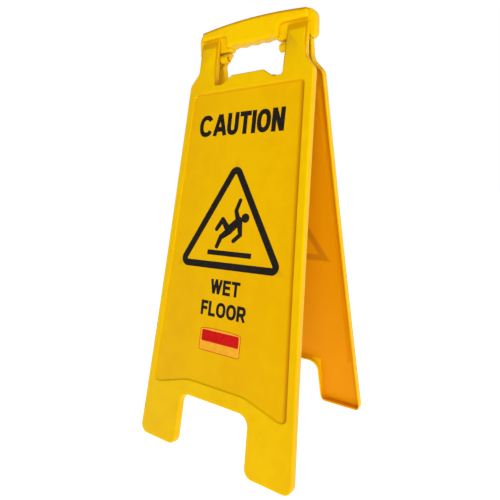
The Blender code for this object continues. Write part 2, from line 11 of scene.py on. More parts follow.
import bmesh
import bpy
import numpy as np
from mathutils import Matrix, Vector, geometry


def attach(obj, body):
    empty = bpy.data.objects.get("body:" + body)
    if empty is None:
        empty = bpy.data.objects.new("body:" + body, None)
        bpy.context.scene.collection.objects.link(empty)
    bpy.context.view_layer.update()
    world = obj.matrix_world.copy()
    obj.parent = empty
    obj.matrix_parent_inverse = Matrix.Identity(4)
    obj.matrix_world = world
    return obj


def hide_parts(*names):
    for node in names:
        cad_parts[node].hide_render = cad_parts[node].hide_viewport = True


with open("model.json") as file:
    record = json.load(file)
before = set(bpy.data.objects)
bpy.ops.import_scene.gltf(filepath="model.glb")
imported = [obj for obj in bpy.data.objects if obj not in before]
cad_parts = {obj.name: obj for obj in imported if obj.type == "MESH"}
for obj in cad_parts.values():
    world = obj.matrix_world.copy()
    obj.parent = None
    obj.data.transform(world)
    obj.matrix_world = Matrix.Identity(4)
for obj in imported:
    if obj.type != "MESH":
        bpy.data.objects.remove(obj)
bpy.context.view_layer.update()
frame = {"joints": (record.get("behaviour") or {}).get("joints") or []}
HINGE = frame["joints"][0]["pos_m"][2]

bl_info = {
    "name": "Folding floor sign",
    "version": (1, 0, 0),
    "blender": (4, 5, 0),
    "location": "3D View > Sidebar > Floor Sign",
    "description": "Builds a two-panel folding floor sign round its packed frame",
    "category": "Add Mesh",
}

MM = 0.001
VIEW = math.radians(34.2)


# ---------------------------------------------------------------- settings


def length(label, text, millimetres):
    return bpy.props.FloatProperty(
        name=label, description=text, default=millimetres * MM, unit="LENGTH", precision=5
    )


def tint(label, text, color):
    return bpy.props.FloatVectorProperty(
        name=label, description=text, default=color, size=3, subtype="COLOR", min=0.0, max=1.0
    )


class FloorSignSizes(bpy.types.PropertyGroup):
    """Sizes of the mouldings, shared by both panels."""

    lean: bpy.props.FloatProperty(
        name="Lean",
        description="Angle of each panel from upright",
        default=math.radians(11.4),
        subtype="ANGLE",
    )
    face: length("Face", "Printed face, out from the hinge axis", 13.0)
    rim: length("Rim", "Open edge of the panel's walls, out from the hinge axis", 2.0)
    arm_rim: length("Arm rim", "The same beside the hand hole", 3.4)
    skin: length("Skin", "Thickness of the moulded face", 2.6)
    wall: length("Wall", "Thickness of the side walls", 2.6)
    foot_wall: length("Foot wall", "Thickness of the sole", 6.0)
    rounding: length("Rounding", "Radius between the face and the side walls", 2.4)
    recess: length("Recess", "Depth of the print field", 1.8)
    slope: length("Slope", "Width of the print field's sloped edge", 2.6)
    ink: length("Ink", "Thickness of the printed ink", 0.06)


class FloorSignColours(bpy.types.PropertyGroup):
    """Colours of the sign's finishes."""

    plastic: tint("Plastic", "Moulded plastic", (0.815, 0.500, 0.0005))
    plastic_deep: tint("Deep plastic", "Moulded plastic where it is thick or worn", (0.770, 0.440, 0.0005))
    plastic_glow: tint("Glow", "Moulded plastic with light behind it", (0.66, 0.215, 0.0004))
    # Painted shade, laid along the print field's walls and along the handle's arched top.
    plastic_shade: tint("Shade", "Moulded plastic along its duller edges", (0.50, 0.16, 0.0004))
    # Painted shadow of the print, seen through the skin from the hollow side.
    print_shade: tint("Print shade", "The print seen from behind", (0.30, 0.10, 0.003))
    ink: tint("Ink", "Printed words and pictures", (0.012, 0.009, 0.008))
    badge: tint("Badge", "Main field of the label", (0.52, 0.004, 0.003))
    badge_ground: tint("Badge ground", "Film behind the label's block", (0.80, 0.36, 0.02))
    badge_edge: tint("Badge edge", "Outline of the label", (0.50, 0.095, 0.004))
    zinc: tint("Zinc", "Screws and clips", (0.58, 0.58, 0.55))
    pin: tint("Pin", "Hinge pins", (0.20, 0.18, 0.10))
    floor: tint("Floor", "Studio floor", (0.93, 0.93, 0.92))


def sizes():
    return bpy.context.scene.floor_sign_sizes


def colours():
    return bpy.context.scene.floor_sign_colours


# ---------------------------------------------------------------- shader maths


class Wire:
    """One socket of a material's nodes, with arithmetic that adds Math nodes."""

    def __init__(self, socket):
        self.socket = socket

    def node(self, kind, settings=None, output=0, **values):
        """Adds a node: its settings first, then the values or wires of its sockets.

        A socket's name is written with _ for a space, or as s and its number.
        """
        made = self.socket.id_data.nodes.new(kind)
        for name, value in (settings or {}).items():
            setattr(made, name, value)
        for name, value in values.items():
            key = int(name[1:]) if name[0] == "s" and name[1:].isdigit() else name.replace("_", " ")
            if isinstance(value, Wire):
                self.socket.id_data.links.new(value.socket, made.inputs[key])
            else:
                made.inputs[key].default_value = value
        return Wire(made.outputs[output])

    def math(self, operation, first, second=0.0, third=0.0):
        return self.node("ShaderNodeMath", {"operation": operation}, s0=first, s1=second, s2=third)

    def __add__(self, other):
        return self.math("ADD", self, other)

    __radd__ = __add__

    def __sub__(self, other):
        return self.math("SUBTRACT", self, other)

    def __rsub__(self, other):
        return self.math("SUBTRACT", other, self)

    def __mul__(self, other):
        return self.math("MULTIPLY", self, other)

    __rmul__ = __mul__

    def most(self, other):
        return self.math("MAXIMUM", self, other)

    def size(self):
        return self.math("ABSOLUTE", self)

    def ramp(self, low, high):
        """0 below low, 1 above high, smooth between."""
        return self.node(
            "ShaderNodeMapRange",
            {"interpolation_type": "SMOOTHSTEP"},
            Value=self,
            From_Min=low,
            From_Max=high,
        )

    def fade(self, low, high):
        """1 below low, 0 above high, smooth between."""
        return 1.0 - self.ramp(low, high)

    def parts(self):
        """The three coordinates of a vector."""
        split = self.node("ShaderNodeSeparateXYZ", Vector=self)
        return [Wire(socket) for socket in split.socket.node.outputs]

    def mix(self, first, second):
        """The first colour where this mask is 0 and the second where it is 1."""
        return self.node(
            "ShaderNodeMix", {"data_type": "RGBA"}, output=2, s0=self, s6=opaque(first), s7=opaque(second)
        )


def opaque(color):
    return color if isinstance(color, Wire) or len(color) == 4 else (*color, 1.0)


def new_material(name):
    """(material, its Principled shader, a wire that carries the object's own coordinates)."""
    surface = bpy.data.materials.new(name)
    surface.use_nodes = True
    shader = surface.node_tree.nodes["Principled BSDF"]
    place = surface.node_tree.nodes.new("ShaderNodeTexCoord").outputs["Object"]
    return surface, shader, Wire(place)


def feed(shader, **values):
    """Sets or links the shader's sockets."""
    for name, value in values.items():
        socket = shader.inputs[name.replace("_", " ")]
        if isinstance(value, Wire):
            shader.id_data.links.new(value.socket, socket)
        else:
            socket.default_value = opaque(value) if hasattr(value, "__len__") else value


def grain(place, scale, detail=2.0, roughness=0.5):
    return place.node("ShaderNodeTexNoise", Vector=place, Scale=scale, Detail=detail, Roughness=roughness)


def moulded_plastic(name, shades):
    """Injection-moulded plastic: even colour with faint flow marks, a fine spark grain and slow sink waves.

    The shades are painted light and shade, (mask, colour) pairs laid over it in turn.
    """
    look = colours()
    surface, shader, place = new_material(name)
    flow = grain(place.node("ShaderNodeMapping", Vector=place, Scale=(1.0, 1.0, 0.25)), 9.0, 3.0)
    cloud = grain(place, 45.0, 4.0, 0.6)
    tone = (flow * 0.6 + cloud * 0.4).ramp(0.38, 0.66)
    color = tone.mix(tuple(look.plastic), tuple(look.plastic_deep))
    specks = grain(place, 520.0, 2.0).ramp(0.70, 0.78)
    color = (specks * 0.16).mix(color, (0.42, 0.22, 0.004))
    for mask, shade in shades(place):
        color = mask.mix(color, tuple(shade))
    scuffs = grain(place.node("ShaderNodeMapping", Vector=place, Scale=(1.0, 1.0, 6.0)), 60.0, 5.0, 0.7)
    spark = grain(place, 1400.0, 2.0)
    waves = grain(place, 26.0, 1.0)
    height = spark * 0.35 + waves * 1.0
    bump = place.node("ShaderNodeBump", Strength=0.10, Distance=0.0012, Height=height)
    feed(
        shader,
        Base_Color=color,
        Roughness=0.36 + scuffs.ramp(0.45, 0.75) * 0.12,
        Normal=bump,
        Specular_IOR_Level=0.20,
        Specular_Tint=(1.0, 0.62, 0.02),
        IOR=1.49,
    )
    return surface


def printed_ink(name, color, roughness=0.50):
    """Screen ink: a flat colour a little mottled, with a faint orange-peel gloss."""
    surface, shader, place = new_material(name)
    cloud = grain(place, 160.0, 3.0)
    faded = tuple(min(channel * 1.15 + 0.004, 1.0) for channel in color)
    bump = place.node("ShaderNodeBump", Strength=0.08, Distance=0.0004, Height=grain(place, 900.0))
    feed(
        shader,
        Base_Color=cloud.ramp(0.35, 0.75).mix(tuple(color), faded),
        Roughness=roughness + cloud * 0.10,
        Specular_IOR_Level=0.06,
        Normal=bump,
    )
    return surface


def turned_metal(name, color, roughness):
    """Plated steel with fine lines round the X axis and a dull mottled plating."""
    surface, shader, place = new_material(name)
    cloud = grain(place, 380.0, 4.0, 0.6)
    rings = grain(place.node("ShaderNodeMapping", Vector=place, Scale=(9.0, 1.0, 1.0)), 700.0, 2.0)
    dull = tuple(channel * 0.62 for channel in color)
    bump = place.node("ShaderNodeBump", Strength=0.15, Distance=0.0002, Height=rings)
    feed(
        shader,
        Base_Color=cloud.ramp(0.35, 0.7).mix(tuple(color), dull),
        Roughness=roughness + cloud * 0.18,
        Metallic=1.0,
        Normal=bump,
    )
    return surface


def material_once(name, maker, *values):
    return bpy.data.materials.get(name) or maker(name, *values)


# ---------------------------------------------------------------- outlines


def unit(z):
    return z / np.maximum(np.abs(z), 1e-12)


def corners_of(rows):
    """An outline's corners: (across, up, radius) in metres."""
    return np.array(rows, float)


def mirrored(right):
    """The right half of an outline, listed from bottom to top, then the same half seen in a mirror."""
    return np.concatenate([right, (right * (-1, 1, 1))[::-1][right[::-1, 0] > 0]])


def moved_in(corners, distance):
    """Moves every side in by a distance: each corner goes along its bisector by
    distance / cos(half the turn), and its radius shrinks or grows to stay concentric."""
    z, radius = corners[:, 0] + 1j * corners[:, 1], corners[:, 2]
    before, after = unit(z - np.roll(z, 1)), unit(np.roll(z, -1) - z)
    lean = 1 + (before * np.conj(after)).real
    place = z + 1j * (before + after) * distance / lean
    turn = distance * np.sign((np.conj(before) * after).imag)
    return np.stack([place.real, place.imag, np.where(radius > 0, np.maximum(radius - turn, 6e-4), 0)], 1)


def rounded(corners, steps=10):
    """Draws each corner as an arc: centred on the bisector at radius / sin(half angle), and swept
    from one tangent point, radius / tan(half angle) from the corner, to the other."""
    z, radius = corners[:, 0] + 1j * corners[:, 1], corners[:, 2]
    back, on = unit(np.roll(z, 1) - z), unit(np.roll(z, -1) - z)
    half = np.maximum(np.abs(np.angle(on / back)) / 2, 1e-6)
    center = z + unit(back + on) * np.where(radius > 0, radius / np.sin(half), 0)
    reach = np.where(radius > 0, radius / np.tan(half), 0)
    start, end = z + back * reach - center, z + on * reach - center
    curved = radius > 0
    sweep = np.where(curved, np.angle(np.where(curved, end, 1) / np.where(curved, start, 1)), 0)
    t = np.linspace(0, 1, steps + 1)
    points = center[:, None] + start[:, None] * np.exp(1j * sweep[:, None] * t)
    return points[curved[:, None] | (t == 0)]


HANDLE = {
    "bottom": 10.2 * MM, "end_top": 43.0 * MM, "crown": 6.5 * MM, "half": 101.5 * MM,
    "front": -2.3 * MM, "back": 13.5 * MM, "top_corner": 13.0 * MM,
    "ear_inner": 94.5 * MM, "ear_bottom": 6.8 * MM, "ear_corner": 6.5 * MM,
    "grip_front": -9.5 * MM, "grip_half": 46.0 * MM, "grip_bottom": 14.5 * MM,
    "lip_half": 92.5 * MM, "lip_bottom": 31.8 * MM,
    "finger_pitch": 20.0 * MM, "finger_depth": 1.5 * MM, "fingers": 4,
}


class Panel:
    """Where one panel's outline corners are, and how its flat drawing leans into place."""

    shoulder_half, shoulder_drop, shoulder_corner = 108.8 * MM, 40.0 * MM, 14 * MM
    foot_half, foot_inner, foot_corner = 140.5 * MM, 65.0 * MM, 13.5 * MM
    side_flare = 0.18
    arch_height, arch_half, arch_corner = 83.0 * MM, 62.5 * MM, 17.0 * MM
    arm_inner, arm_outer = 60.0 * MM, 93.7 * MM
    neck_rise, neck_corner = 18.5 * MM, 15 * MM
    hole_drop, hole_corner = 43.5 * MM, 4 * MM
    tab_half, tab_height, tab_slope = 28.0 * MM, 11.5 * MM, 17.0 * MM
    tab_corner, tab_foot_corner = 6 * MM, 5 * MM
    head_top, head_shoulder, head_setback = 28.5 * MM, 12.5 * MM, 3.2 * MM
    head_outer_corner, head_inner_corner, seat_corner = 5 * MM, 4 * MM, 2 * MM
    gusset_inner, gusset_drop, gusset_corner = 41.0 * MM, 16.5 * MM, 8 * MM
    gap = 0.3 * MM
    field_margin, field_drop, field_corner = 11.5 * MM, 54.0 * MM, 9.0 * MM
    field_foot, field_crown = 88.0 * MM, 17.5 * MM
    crown_half, crown_corner = 52 * MM, 70 * MM
    dip_half, dip_rise, dip_corner = 107 * MM, 1 * MM, 20 * MM

    def __init__(self, facing):
        size = sizes()
        self.facing = facing
        self.lean = size.lean
        self.face, self.rim = size.face, size.rim
        self.arm_rim = size.arm_rim
        self.length = (HINGE + math.sin(self.lean) * self.face) / math.cos(self.lean)
        seat = HANDLE["bottom"] - self.gap
        self.arm_top = (seat - math.sin(self.lean) * self.face) / math.cos(self.lean)

    def half_width(self, drop):
        """Half the width this far below the hinge, flaring a little towards the foot."""
        t = (drop - self.shoulder_drop) / (self.length - self.shoulder_drop)
        grown = t * (1 - self.side_flare) + self.side_flare * t * t
        return self.shoulder_half + (self.foot_half - self.shoulder_half) * grown

    def side(self, margin, first, last, count=13):
        """Points up the flaring side between two shares of it, moved in by the margin."""
        drops = self.shoulder_drop + (self.length - self.shoulder_drop) * np.linspace(last, first, count)
        return np.stack([self.half_width(drops) - margin, -drops, np.zeros(count)], 1)

    def outline(self):
        """The panel's outline: front arms end in heads, and rear arms in seats for the handle
        with a gusset beside each."""
        bottom = -self.length
        top = (
            [
                (self.arm_outer, self.head_top, self.head_outer_corner),
                (self.arm_inner, self.head_top, self.head_inner_corner),
            ]
            if self.facing > 0
            else [
                (self.arm_outer, self.arm_top, self.seat_corner),
                (self.gusset_inner, self.arm_top, self.seat_corner),
                (self.arm_inner, self.arm_top - self.gusset_drop, self.gusset_corner),
            ]
        )
        return mirrored(
            np.concatenate([
                corners_of([
                    (self.arch_half, bottom + self.arch_height, self.arch_corner),
                    (self.foot_inner, bottom, self.foot_corner),
                    (self.foot_half, bottom, self.foot_corner),
                ]),
                self.side(0.0, 0.1, 0.9),
                corners_of([
                    (self.shoulder_half, -self.shoulder_drop, self.shoulder_corner),
                    (self.arm_outer, -self.shoulder_drop + self.neck_rise, self.neck_corner),
                    *top,
                    (self.arm_inner, -self.hole_drop, self.hole_corner),
                    (self.tab_half + self.tab_slope, -self.hole_drop, self.tab_foot_corner),
                    (self.tab_half, -self.hole_drop + self.tab_height, self.tab_corner),
                ]),
            ])
        )

    def field(self):
        """The print field's outline: arched over the legs, with the panel's sides moved in."""
        bottom, drop = -self.length + self.field_foot, self.length - self.field_foot
        top_half = self.half_width(self.field_drop) - self.field_margin
        return mirrored(
            np.concatenate([
                corners_of([
                    (self.crown_half, bottom + self.field_crown, self.crown_corner),
                    (self.dip_half, bottom + self.dip_rise, self.dip_corner),
                    (self.half_width(drop) - self.field_margin, bottom, self.field_corner),
                ]),
                self.side(self.field_margin, 0.1, 0.75),
                corners_of([(top_half, -self.field_drop, self.field_corner)]),
            ])
        )

    def rim_depth(self, up):
        """The walls' open edge: nearest the hinge axis on the panel, further out on the arms,
        and cut back upright behind the heads, where the handle stands."""
        step = np.clip((up + 14 * MM) / (3 * MM), 0, 1)
        depth = self.rim + (self.arm_rim - self.rim) * step * step * (3 - 2 * step)
        if self.facing < 0:
            return depth
        upright = (math.sin(self.lean) * up - HANDLE["front"] + self.gap) / math.cos(self.lean)
        return np.where(up > 7.8 * MM, np.maximum(depth, upright), depth)

    def face_depth(self, up):
        """The printed side: flat, then leaning back over the heads in two straight stages."""
        if self.facing < 0:
            return np.full_like(up, self.face)
        rise = (up - self.head_shoulder) / (self.head_top + 1 * MM - self.head_shoulder)
        return self.face - self.head_setback * np.interp(rise, (0, 0.5, 1), (0, 0.3, 1))

    def leaned(self, across, up, out):
        """The flat drawing leaned out from the hinge axis, on this panel's side."""
        y = math.sin(self.lean) * up - math.cos(self.lean) * out
        z = HINGE + math.cos(self.lean) * up + math.sin(self.lean) * out
        return np.stack([across * self.facing, y * self.facing, z], -1)

    def on_floor(self, up, out):
        """Keeps the soles level: nothing reaches below the floor."""
        return np.maximum(up, (-HINGE - math.sin(self.lean) * out) / math.cos(self.lean))


# ---------------------------------------------------------------- meshes


def strips(rows, columns, offset=0, around=True):
    """Four-sided faces of a grid of points, closed along its columns where around is true."""
    last = columns if around else columns - 1
    row, column = np.meshgrid(np.arange(rows - 1), np.arange(last), indexing="ij")
    a, b = row * columns + column, row * columns + (column + 1) % columns
    return np.stack([a, b, b + columns, a + columns], -1).reshape(-1, 4) + offset


def filled(loops, loose=()):
    """Triangles that fill the first closed loop and keep the edges of the others.

    Loops are arrays of points as complex numbers, and loose is a row of single points. The
    triangles number the points in that order, laid end to end.
    """
    points = np.concatenate([*loops, np.asarray(loose, complex)])
    edges, start = [], 0
    for loop in loops:
        number = np.arange(len(loop))
        edges.append(np.stack([number, (number + 1) % len(loop)], 1) + start)
        start += len(loop)
    flat = [Vector(pair) for pair in np.stack([points.real, points.imag], 1).tolist()]
    joined = np.concatenate(edges).tolist()
    found = geometry.delaunay_2d_cdt(flat, joined, [], 1, 1e-7)
    if len(found[0]) > len(points) or not all(found[3]):
        raise ValueError("two of the loops cross")
    source = np.array([numbers[0] for numbers in found[3]])
    return source[np.array(found[2])]


def build(name, parts, surface, body, stands_for=(), sharp=38.0):
    """One piece from several (points, faces) parts, joined where they meet and facing outwards."""
    points, faces, start = [], [], 0
    for part_points, part_faces in parts:
        points.append(np.asarray(part_points, float).reshape(-1, 3))
        faces += (np.asarray(part_faces) + start).tolist()
        start += len(points[-1])
    mesh = bpy.data.meshes.new(name)
    mesh.from_pydata(np.concatenate(points).tolist(), [], faces)
    edited = bmesh.new()
    edited.from_mesh(mesh)
    bmesh.ops.remove_doubles(edited, verts=edited.verts, dist=2e-6)
    bmesh.ops.dissolve_degenerate(edited, edges=edited.edges, dist=1e-7)
    bmesh.ops.recalc_face_normals(edited, faces=edited.faces)
    edited.to_mesh(mesh)
    edited.free()
    mesh.materials.append(surface)
    mesh.shade_smooth()
    mesh.set_sharp_from_angle(angle=math.radians(sharp))
    piece = bpy.data.objects.new(name, mesh)
    bpy.context.scene.collection.objects.link(piece)
    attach(piece, body)
    if stands_for:
        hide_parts(*stands_for)
    return piece


def quarter(radius, steps=6):
    """A quarter round as (distance in from the side, distance down from the top)."""
    turn = np.linspace(0, math.pi / 2, steps + 1)
    return radius * (1 - np.cos(turn)), radius * (1 - np.sin(turn))


def eased(steps):
    """0 to 1, slow at both ends."""
    t = np.linspace(0, 1, steps + 1)
    return t * t * (3 - 2 * t)


def turned(profile, steps=48):
    """A profile of (radius, along) carried round the X axis: (along, radius cos, radius sin)."""
    profile = np.array(profile, float)
    turn = np.linspace(0, 2 * math.pi, steps, endpoint=False)
    radius, along = profile[:, :1], profile[:, 1:]
    points = np.stack(
        [along + 0 * turn, radius * np.cos(turn), radius * np.sin(turn)], -1
    )
    return points, strips(len(profile), steps)


# ---------------------------------------------------------------- panels


LUG_RADIUS, LUG_BORE = 7.0 * MM, 3.3 * MM
FRONT_LUGS = [(71.3, 82.3)]
REAR_LUGS = [(65.5, 70.5), (83.1, 88.1)]
FILLET, RIM_ROUNDING = 1.2 * MM, 0.4 * MM
INNER_STEP = 1.5


def lug(panel, start, end, radius, bore):
    """A hinge lug: its rim is a half round of the radius on the inner side and runs square to
    the skin on the outer side, carried over a chamfered section from the bore and back."""
    size = sizes()
    root = panel.face - size.skin / 2
    turn = np.linspace(-math.pi, math.pi, 73)[:-1]
    outer = np.minimum(
        np.where(np.cos(turn) > 0, root / np.maximum(np.cos(turn), 1e-6), radius),
        radius / np.maximum(np.abs(np.sin(turn)), 1e-6),
    )
    outer = np.where(np.cos(turn) > 0, outer, radius)
    chamfer = 0.4 * MM
    section = [(0, 0), (1, chamfer), (1, 0), (1, 0), (1, chamfer), (0, 0)]
    along = [start, start, start + chamfer, end - chamfer, end, end]
    rings = []
    for (share, cut), place in zip(section, along):
        reach = bore + (outer - cut - bore) * share
        rings.append(panel.leaned(np.full_like(turn, place), reach * np.sin(turn), reach * np.cos(turn)))
    rings.append(rings[0])
    return np.array(rings), strips(len(rings), len(turn))


def lugs(panel, spans):
    """A lug across each span, in millimetres from the middle, on both sides of the panel."""
    ends = [sorted((side * low * MM, side * high * MM)) for side in (-1, 1) for low, high in spans]
    return [lug(panel, start, end, LUG_RADIUS, LUG_BORE) for start, end in ends]


def moulding(panel):
    """The tray in one skin. Rings of the outline, each moved in by its own distance and set at
    its own depth, run from the hollow's floor up the inner wall, over the rim, down the outer
    wall and round onto the face; both flats are filled round the print field's rings."""
    size = sizes()
    outline, field = panel.outline(), panel.field()
    inner = panel.face - size.skin
    hollow_top = panel.head_shoulder if panel.facing > 0 else panel.arm_top - size.wall

    def ring(distance, from_rim=None, from_face=None, hollow=False, depth=None):
        """One ring, its depth counted from the rim, from the printed face or from the axis."""
        points = rounded(moved_in(outline, distance))
        across, up = points.real, points.imag
        if hollow:
            up = np.clip(up, -panel.length + size.foot_wall, hollow_top)
        out = (
            panel.rim_depth(up) + from_rim
            if from_rim is not None
            else panel.face_depth(up) - from_face
            if from_face is not None
            else np.full_like(up, depth)
        )
        out = np.maximum(out, panel.rim_depth(up) + (from_rim or 0))
        return across, panel.on_floor(up, out), out

    side_in, side_down = quarter(RIM_ROUNDING, 3)
    face_in, face_down = quarter(size.rounding, 8)
    fillet_in, fillet_down = quarter(FILLET, 4)
    rings = [ring(size.wall + FILLET + 0.5 * MM, depth=inner, hollow=True)]
    rings += [
        ring(size.wall + FILLET - a, depth=inner - FILLET + b, hollow=True)
        for a, b in zip(fillet_down[::-1], fillet_in[::-1])
    ]
    rings += [ring(size.wall, from_rim=2.4 * MM, hollow=True)]
    rings += [ring(size.wall - a, from_rim=b, hollow=True) for a, b in zip(side_in, side_down)]
    rings += [ring(a, from_rim=b) for a, b in zip(side_in[::-1], side_down[::-1])]
    rings += [ring(0.0, from_face=size.rounding + 1.2 * MM)]
    rings += [ring(a, from_face=b) for a, b in zip(face_in, face_down)]
    rings += [ring(size.rounding + 0.5 * MM, from_face=0.0)]
    points = np.array([panel.leaned(*one) for one in rings])
    parts = [(points, strips(len(rings), points.shape[1]))]

    fall = eased(6)
    steps = np.concatenate([[-0.6 * MM], size.slope * np.linspace(0, 1, 7), [size.slope + 0.6 * MM]])
    depths = np.concatenate([[0.0], size.recess * fall, [size.recess]])
    field_rings = [rounded(moved_in(field, step)) for step in steps]
    crease = []
    if panel.facing > 0:
        for share in (0.0, 0.5):
            up = panel.head_shoulder + (panel.head_top + 1 * MM - panel.head_shoulder) * share
            for side in (-1, 1):
                across = side * np.linspace(panel.arm_inner + 4 * MM, panel.arm_outer - 4 * MM, 9)
                crease.append(across + 1j * up)

    def flat(edge, base, sink, more):
        """Fills inside a ring, with the print field pressed in by each field ring's depth
        times sink. More holds rows of single points to keep."""
        across, up, _ = edge
        loops = [across + 1j * up, *field_rings]
        pressed = [np.zeros(len(loops[0]))] + [
            np.full(len(loop), depth) for loop, depth in zip(field_rings, depths)
        ]
        extra = np.concatenate(more) if more else np.zeros(0, complex)
        triangles = filled(loops, extra)
        pressed.append(np.zeros(len(extra)))
        every = np.concatenate(loops + [extra])
        out = base(every.imag) - np.concatenate(pressed) * sink
        return panel.leaned(every.real, every.imag, out), triangles

    parts.append(flat(rings[-1], panel.face_depth, 1.0, crease))
    parts.append(flat(rings[0], lambda up: np.full_like(up, inner), INNER_STEP, []))
    return parts


def beside_triangle(across, up):
    """How far a point lies outside the printed triangle: its greatest distance past a side."""
    nearest = None
    for (ax, ay), (bx, by) in zip(TRIANGLE, TRIANGLE[1:] + TRIANGLE[:1]):
        long = math.hypot(bx - ax, by - ay)
        nx, ny = (by - ay) / long, -(bx - ax) / long
        side = across * nx + up * ny - (ax * nx + ay * ny) * MM
        nearest = side if nearest is None else nearest.most(side)
    return nearest


def shades_of_panel(panel):
    """Painted light and shade: the hollow side painted orange as light through the skin would turn it,
    the printed triangle's shadow painted softly through it, and painted shade in strips along the print
    field's walls."""

    def half_width(up):
        """The panel's half width at this height, as Panel.half_width works it out."""
        share = (up + panel.shoulder_drop) * (-1.0 / (panel.length - panel.shoulder_drop))
        grown = share * (1.0 - panel.side_flare) + share * share * panel.side_flare
        return grown * (panel.foot_half - panel.shoulder_half) + panel.shoulder_half

    def hollow_side(across, up, out, wide):
        """1 inside the walls and below the shoulder, 0 on the walls of the leg arch."""
        arch = panel.arch_height - panel.length
        on_arch = across.size().fade(panel.foot_inner + 1 * MM, panel.foot_inner + 3 * MM)
        inside = out.fade(panel.face - 2.2 * MM, panel.face - 1.6 * MM)
        inside = inside * (wide - across.size()).ramp(2.2 * MM, 3.2 * MM)
        inside = inside * up.fade(-panel.shoulder_drop, -panel.shoulder_drop + 12 * MM)
        return inside * (1.0 - up.fade(arch + 2 * MM, arch + 5 * MM) * on_arch)

    def field_walls(across, up, out, wide):
        """Painted shade in strips along the field's right, upper and left walls, the right one widest and
        strongest.
        """
        to_right, to_left = wide - panel.field_margin - across, wide - panel.field_margin + across
        to_top, from_foot = -panel.field_drop - up, up + panel.length - panel.field_foot
        pressed = out.ramp(panel.face - 2.6 * MM, panel.face - 1.8 * MM)
        pressed = pressed * out.fade(panel.face - 0.6 * MM, panel.face - 0.1 * MM)
        at_right = to_right.fade(1.8 * MM, 9 * MM) * to_top.ramp(-2 * MM, 4 * MM)
        at_right = at_right * from_foot.ramp(-2 * MM, 6 * MM)
        at_top = to_top.fade(2.4 * MM, 4.5 * MM) * 0.55
        at_left = to_left.fade(2.4 * MM, 3.6 * MM) * 0.30
        return at_right.most(at_top).most(at_left) * pressed * to_right.ramp(-1.2 * MM, 0.0)

    def shades(place):
        x, y, z = place.parts()
        across, y, z = x * (1.0 * panel.facing), y * (1.0 * panel.facing), z - HINGE
        up = y * math.sin(panel.lean) + z * math.cos(panel.lean)
        out = z * math.sin(panel.lean) - y * math.cos(panel.lean)
        wide = half_width(up)
        inside = hollow_side(across, up, out, wide)
        # Painted shadow of the printed triangle, as light through the skin would show it on the hollow side.
        ring = (beside_triangle(across, up) + TRIANGLE_STROKE / 2 * MM).size()
        look = colours()
        return [
            (inside * 0.80, look.plastic_glow),
            (ring.fade(3 * MM, 7.5 * MM) * inside * 0.50, look.print_shade),
            (field_walls(across, up, out, wide) * 0.92, look.plastic_shade),
        ]

    return shades


def shades_of_handle(place):
    """Painted shade: a strip along the front of the arched top, where it rounds upward, as deep as it lies
    below the top's arch.
    """
    x, y, z = place.parts()
    bow = x * x * (HANDLE["crown"] / HANDLE["half"] ** 2)
    below = HINGE + HANDLE["end_top"] + HANDLE["crown"] - bow - z
    strip = below.fade(1.8 * MM, 6.4 * MM) * y.fade(-3 * MM, -2.2 * MM)
    return [(strip * 0.75, colours().plastic_shade)]


# ---------------------------------------------------------------- print


# The print's places and sizes are in millimetres, across the panel and up from the hinge axis.
TRIANGLE = [(-1.0, -160.5), (-98.0, -325.5), (96.0, -324.0)]
TRIANGLE_STROKE = 10.6
TRIANGLE_CORNER = 12.0
BAR_HALF, BAR_LOW, BAR_HIGH = 40.0, -304.6, -297.0
LETTER_STEP, FIGURE_STEP = 0.004 * MM, 0.003 * MM
# Each word, and the left, right, top and bottom edges that it fits between.
CAUTION = ("CAUTION", -81.0, 72.0, -90.0, -123.8)
WET = ("WET", -27.0, 27.0, -340.0, -362.2)
FLOOR = ("FLOOR", -41.0, 41.0, -373.6, -396.0)


def plate(panel, outline, low, high):
    """A thin flat plate: the outline's points at two depths, with both faces filled."""
    points = np.asarray(outline)
    rings = [panel.leaned(points.real, points.imag, np.full(len(points), depth)) for depth in (low, high)]
    triangles = filled([points])
    ring_faces = strips(2, len(points))
    part = [(np.array(rings), ring_faces)]
    return part + [(rings[0], triangles), (rings[1], triangles)]


def band(path, width, closed=False):
    """The two edges of a stroke: the path moved half the width to each side, with mitred turns."""
    z = np.asarray(path, complex)
    ahead = unit(np.roll(z, -1) - z)
    before = unit(z - np.roll(z, 1))
    if not closed:
        ahead[-1], before[0] = before[-1], ahead[0]
    lean = 1 + (before * np.conj(ahead)).real
    shift = 1j * (before + ahead) / lean * width / 2
    return z + shift, z - shift


def arc(center, radius_x, radius_y, start, end, count=17):
    """Part of a slightly squared ellipse: cosine and sine drawn out by the power 0.86."""
    turn = np.radians(np.linspace(start, end, count))
    c, s = np.cos(turn), np.sin(turn)
    squared = 0.86
    across, up = (np.sign(one) * np.abs(one) ** squared for one in (c, s))
    return center + radius_x * across + 1j * radius_y * up


